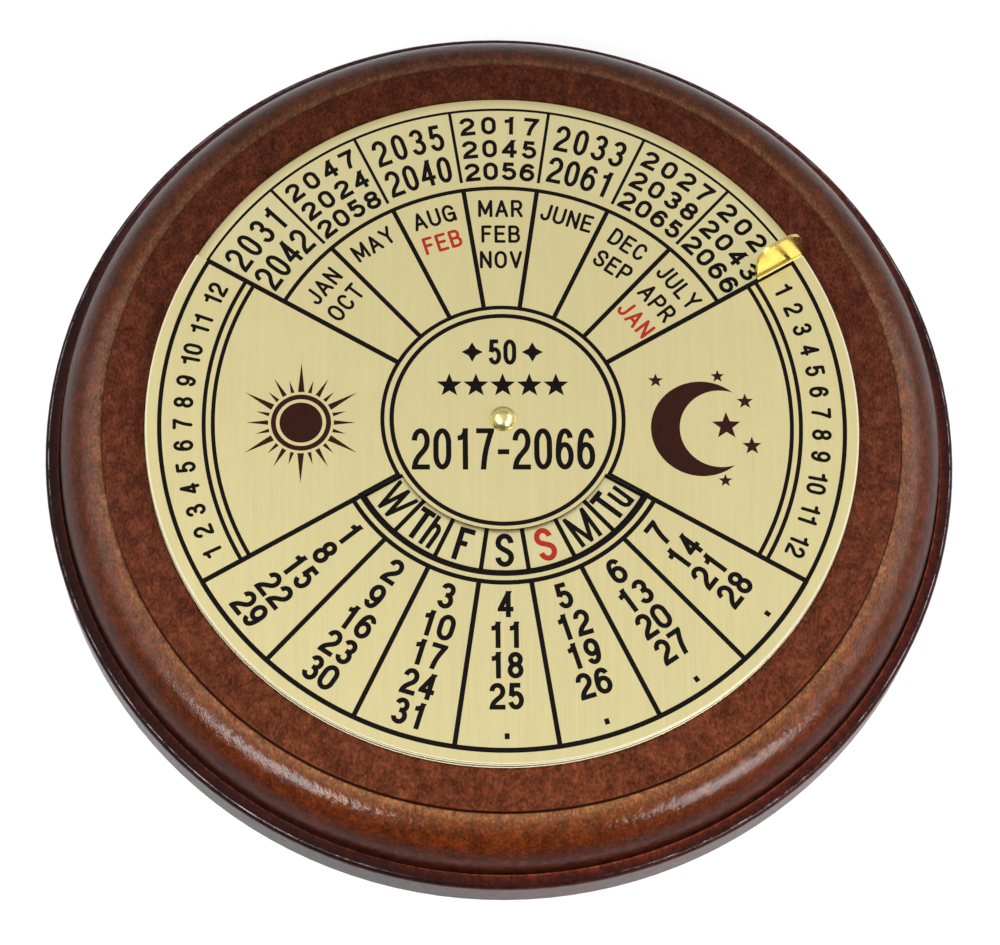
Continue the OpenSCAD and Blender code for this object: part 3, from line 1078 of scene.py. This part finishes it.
def floor_glow(n):
    """The floor's own light: white to the camera, and in reflections dim in front."""
    place = n.add("TexCoord").outputs["Object"]
    near, far = (distance * MM for distance in FLOOR_UNLIT)
    front, back = (distance * MM for distance in FLOOR_FRONT)
    to_camera = n.remap(n.vector("LENGTH", place), near, far, FLOOR_GLOW, FLOOR_UNLIT_GLOW)
    reflected = n.remap(n.split(place)["Y"], front, back, FLOOR_FRONT_GLOW, FLOOR_GLOW)
    by_camera = n.add("LightPath").outputs["Is Camera Ray"]
    return n.add("Mix", {0: by_camera, 2: reflected, 3: to_camera}).outputs[0]


def matt(n, grey):
    return n.add("BsdfDiffuse", {"Color": (grey,) * 3}).outputs[0]


def white_floor():
    """A white floor that keeps a soft shadow: part of its white is its own, part is lit. It is
    clear from below, so that the object's underside can be seen."""
    finish = bpy.data.materials.new("white_floor")
    finish.use_nodes = True
    n = Nodes(finish.node_tree)
    n.tree.nodes.clear()
    glow = n.add("Emission", {"Strength": floor_glow(n)}).outputs[0]
    seen = n.add("AddShader", {0: matt(n, FLOOR_SHADE), 1: glow}).outputs[0]
    above = n.blend(seen_rays(n), matt(n, FLOOR_COLOUR), seen)
    from_below = n.add("NewGeometry").outputs["Backfacing"]
    clear = n.add("BsdfTransparent").outputs[0]
    n.add("OutputMaterial", {"Surface": n.blend(from_below, above, clear)})

    half = FLOOR_SIZE / 2
    corners = [(x * half, y * half, -FLOOR_GAP * MM)
               for x, y in ((-1, -1), (1, -1), (1, 1), (-1, 1))]
    mesh = bpy.data.meshes.new("floor")
    mesh.from_pydata(corners, [], [(0, 1, 2, 3)])
    mesh.materials.append(finish)
    floor = bpy.data.objects.new("floor", mesh)
    bpy.context.scene.collection.objects.link(floor)


SKY_LIGHT = 0.2
SKY_SEEN = 0.95
# How much of it reflections show at heights from the horizon, 0, to overhead, 1
SKY_HEIGHTS = ((0.0, 1.0), (0.2, 0.8), (0.4, 0.55), (0.65, 0.55), (0.82, 0.8), (0.9, 1.0))
# What they show of it in front, and the directions between which it grows
FRONT_SEEN = 0.14
FRONT_EDGES = (-0.7, 0.15)


def reflected_sky(n):
    """The surround as reflections show it: pale overhead and along the horizon, dimmer between
    them, and dim in front, where the camera is."""
    direction = n.split(n.add("TexCoord").outputs["Generated"])
    level = n.remap(direction["Y"], *FRONT_EDGES, FRONT_SEEN, SKY_SEEN)
    colour = n.ramp(direction["Z"], [(height, (share,) * 3) for height, share in SKY_HEIGHTS])
    return n.add("Background", {"Color": colour, "Strength": level}).outputs[0]


def plain_sky(n, strength):
    return n.add("Background", {"Color": (1, 1, 1), "Strength": strength}).outputs[0]


def studio_sky():
    """A pale surround: white to the camera, weaker as a light."""
    world = bpy.data.worlds.new("studio")
    world.use_nodes = True
    n = Nodes(world.node_tree)
    n.tree.nodes.clear()
    rays = n.add("LightPath").outputs
    sky = plain_sky(n, SKY_LIGHT)
    layers = (("Is Glossy Ray", reflected_sky(n)),
              ("Is Transmission Ray", plain_sky(n, SKY_SEEN)),
              ("Is Camera Ray", plain_sky(n, 1.0)))
    for ray, shown in layers:
        sky = n.blend(rays[ray], sky, shown)
    n.add("OutputWorld", {"Surface": sky})
    bpy.context.scene.world = world


LAMP_DISTANCE = 0.45
# Each lamp's direction from the dial, width, depth, radiance and shape: an oval one at each side
# of the front, and a long strip along each side
LAMPS = {
    "left_front": ((-0.44, -0.43, 0.79), 0.18, 0.12, 23.5, "ELLIPSE"),
    "right_front": ((0.56, -0.57, 0.60), 0.2, 0.12, 24, "ELLIPSE"),
    "left_strip": ((-0.70, 0.08, 0.70), 0.42, 0.2, 2.4, "RECTANGLE"),
    "right_strip": ((0.76, 0.08, 0.63), 0.42, 0.16, 4, "RECTANGLE"),
}


def lamp(name, direction, width, depth, radiance, shape):
    """A soft lamp that faces the dial from a direction, as bright as radiance. Its width runs
    level, and its depth stands across it."""
    light = bpy.data.lights.new(name, "AREA")
    light.shape = shape
    light.size = width
    light.size_y = depth
    face = width * depth * (math.pi / 4 if shape == "ELLIPSE" else 1)
    light.energy = radiance * math.pi * face
    holder = bpy.data.objects.new(name, light)
    away = Vector(direction).normalized()
    holder.location = away * LAMP_DISTANCE
    holder.rotation_euler = away.to_track_quat("Z", "Y").to_euler()
    bpy.context.scene.collection.objects.link(holder)


# The camera: where it stands and the point of the dial's plane that it faces, in millimetres.
CAMERA_PLACE = Vector((-15.532, -164.593, 424.159))
CAMERA_AIM = Vector((-0.53, -8.05, 0.022))
CAMERA_ROLL = 5.123
CAMERA_LENS = 117.067
SENSOR_WIDTH = 36


def camera():
    lens = bpy.data.cameras.new("camera")
    lens.lens = CAMERA_LENS
    lens.sensor_width = SENSOR_WIDTH
    lens.clip_start = 0.01
    holder = bpy.data.objects.new("camera", lens)
    facing = (CAMERA_AIM - CAMERA_PLACE).to_track_quat("-Z", "Y")
    roll = Euler((0, 0, math.radians(CAMERA_ROLL))).to_quaternion()
    holder.rotation_euler = (facing @ roll).to_euler()
    holder.location = (CAMERA_PLACE + Vector((0, 0, DIAL_TOP))) * MM
    bpy.context.scene.collection.objects.link(holder)
    bpy.context.scene.camera = holder


# ---------------------------------------------------------------- the scene

dress("wood_base", stained_wood())
dress("base_felt", felt())
dress("adhesive_sheet", mottled_sheet(
    "adhesive", 0.8, 3, srgb(212, 206, 188), srgb(228, 224, 210), 0.5, 0.4))
dress("year_disc", brushed_brass("year_brass", srgb(220, 208, 157)))
dress("spacer_washer", mottled_sheet(
    "fibre", 0.3, 4, srgb(120, 45, 36), srgb(150, 62, 48), 0.7, 0.5))
dress("month_dial", brushed_brass("dial_brass", srgb(218, 205, 152), polished_above=DIAL_TOP + 0.5))
bright_brass = polished_brass()
dress("centre_rivet", bright_brass)
dress("rivet_burr", bright_brass)

black_ink = enamel("black_ink", srgb(11, 9, 8), srgb(18, 15, 14))
red_ink = enamel("red_ink", srgb(144, 38, 30), srgb(152, 46, 36))
maroon_ink = enamel("maroon_ink", srgb(40, 18, 14), srgb(48, 23, 18))

year_black, year_red = year_print()
dial_black, dial_red, dial_maroon = dial_print()
PRINTS = (
    ("year_print_black", year_black, YEAR_TOP, "base", black_ink, "year_brass"),
    ("year_print_red", year_red, YEAR_TOP, "base", red_ink, "year_brass"),
    ("dial_print_black", dial_black, DIAL_TOP, "dial", black_ink, "dial_brass"),
    ("dial_print_red", dial_red, DIAL_TOP, "dial", red_ink, "dial_brass"),
    ("dial_print_maroon", dial_maroon, DIAL_TOP, "dial", maroon_ink, "dial_brass"),
)
for name, regions, top, body, ink, slot in PRINTS:
    ink_piece(name, regions, top, body, ink)

white_floor()
studio_sky()
for name, settings in LAMPS.items():
    lamp(name, *settings)
camera()
bpy.context.scene.view_settings.view_transform = "Standard"
